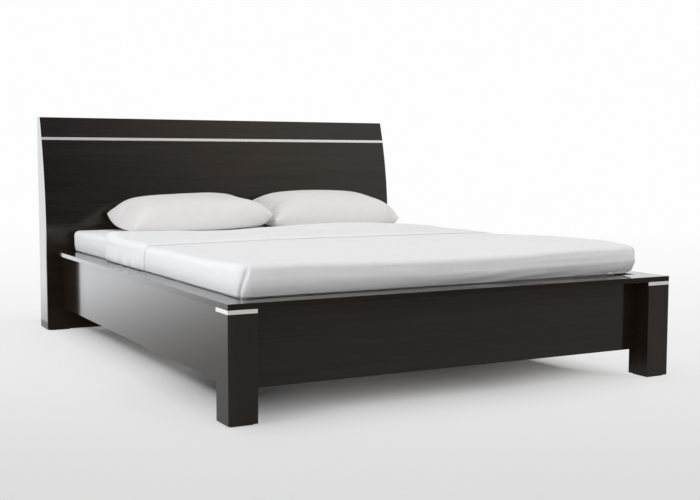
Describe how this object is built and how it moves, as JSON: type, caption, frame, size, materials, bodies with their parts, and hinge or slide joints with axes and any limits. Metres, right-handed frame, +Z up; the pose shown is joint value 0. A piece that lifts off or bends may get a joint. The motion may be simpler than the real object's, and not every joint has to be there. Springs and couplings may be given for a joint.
{
  "type": "double bed",
  "caption": "Low double bed with a swept-back dark wood headboard, overhanging ledges, square foot legs with pale inlays, slatted base, mattress, sheets and pillows.",
  "frame": {"origin": "centre of the overall footprint, on the floor", "axes": "+X across the bed to the right as seen from the foot, +Y from the foot towards the headboard, +Z up"},
  "size_m": [1.85, 2.306, 1.006],
  "materials": {
    "dark_veneer": "satin",
    "back_board": "matte",
    "pale_metal_inlay": "satin",
    "softwood": "matte",
    "beech": "satin",
    "black_steel": "satin",
    "zinc_steel": "satin",
    "brass_insert": "satin",
    "black_plastic": "matte",
    "ticking": "matte",
    "white_sheet": "matte",
    "white_pillowcase": "matte"
  },
  "bodies": {
    "frame": {"beam_hanger_foot": "black_steel", "beam_hanger_head": "black_steel", "bracket_bolts": "zinc_steel", "bracket_screws": "zinc_steel", "centre_beam": "softwood", "centre_leg_1": "black_steel", "centre_leg_2": "black_steel", "cleat_screws": "zinc_steel", "flange_screws": "zinc_steel", "foot_glides": "black_plastic", "foot_inlay_left": "pale_metal_inlay", "foot_inlay_right": "pale_metal_inlay", "foot_ledge": "dark_veneer", "foot_leg_left": "dark_veneer", "foot_leg_right": "dark_veneer", "foot_panel": "dark_veneer", "foot_panel_dowels": "beech", "hanger_screws": "zinc_steel", "headboard_back_panel": "back_board", "headboard_back_screws": "zinc_steel", "headboard_bottom_board": "back_board", "headboard_front_lower": "dark_veneer", "headboard_front_upper": "dark_veneer", "headboard_gable_left": "dark_veneer", "headboard_gable_right": "dark_veneer", "headboard_glides": "black_plastic", "headboard_inlay": "pale_metal_inlay", "headboard_inlay_batten": "softwood", "headboard_middle_batten": "softwood", "headboard_post_centre": "softwood", "headboard_post_left": "softwood", "headboard_post_right": "softwood", "headboard_top_board": "dark_veneer", "ledge_dowels": "beech", "rail_bracket_foot_left": "black_steel", "rail_bracket_foot_right": "black_steel", "rail_bracket_head_left": "black_steel", "rail_bracket_head_right": "black_steel", "side_ledge_left": "dark_veneer", "side_ledge_right": "dark_veneer", "side_panel_left": "dark_veneer", "side_panel_right": "dark_veneer", "slat_cleat_left": "softwood", "slat_cleat_right": "softwood", "slat_holders_centre": "black_plastic", "slat_holders_left": "black_plastic", "slat_holders_right": "black_plastic", "slats_left": "beech", "slats_right": "beech", "threaded_inserts": "brass_insert"},
    "mattress": {"mattress": "ticking", "fitted_sheet": "white_sheet", "top_sheet": "white_sheet"},
    "pillow_left": {"pillow_left": "white_pillowcase"},
    "pillow_right": {"pillow_right": "white_pillowcase"},
    "levelling_foot_1": {"levelling_foot_1": "zinc_steel"},
    "levelling_foot_2": {"levelling_foot_2": "zinc_steel"}
  },
  "joints": [
    {"name": "mattress_lift", "type": "slide", "parent": "frame", "child": "mattress", "axis": [0, 0, 1], "range_m": [0, 0.3]},
    {"name": "pillow_left_lift", "type": "slide", "parent": "mattress", "child": "pillow_left", "axis": [0, 0, 1], "range_m": [0, 0.35]},
    {"name": "pillow_right_lift", "type": "slide", "parent": "mattress", "child": "pillow_right", "axis": [0, 0, 1], "range_m": [0, 0.35]},
    {"name": "levelling_foot_1_screw", "type": "slide", "parent": "frame", "child": "levelling_foot_1", "axis": [0, 0, -1], "range_m": [0, 0.015]},
    {"name": "levelling_foot_2_screw", "type": "slide", "parent": "frame", "child": "levelling_foot_2", "axis": [0, 0, -1], "range_m": [0, 0.015]}
  ]
}
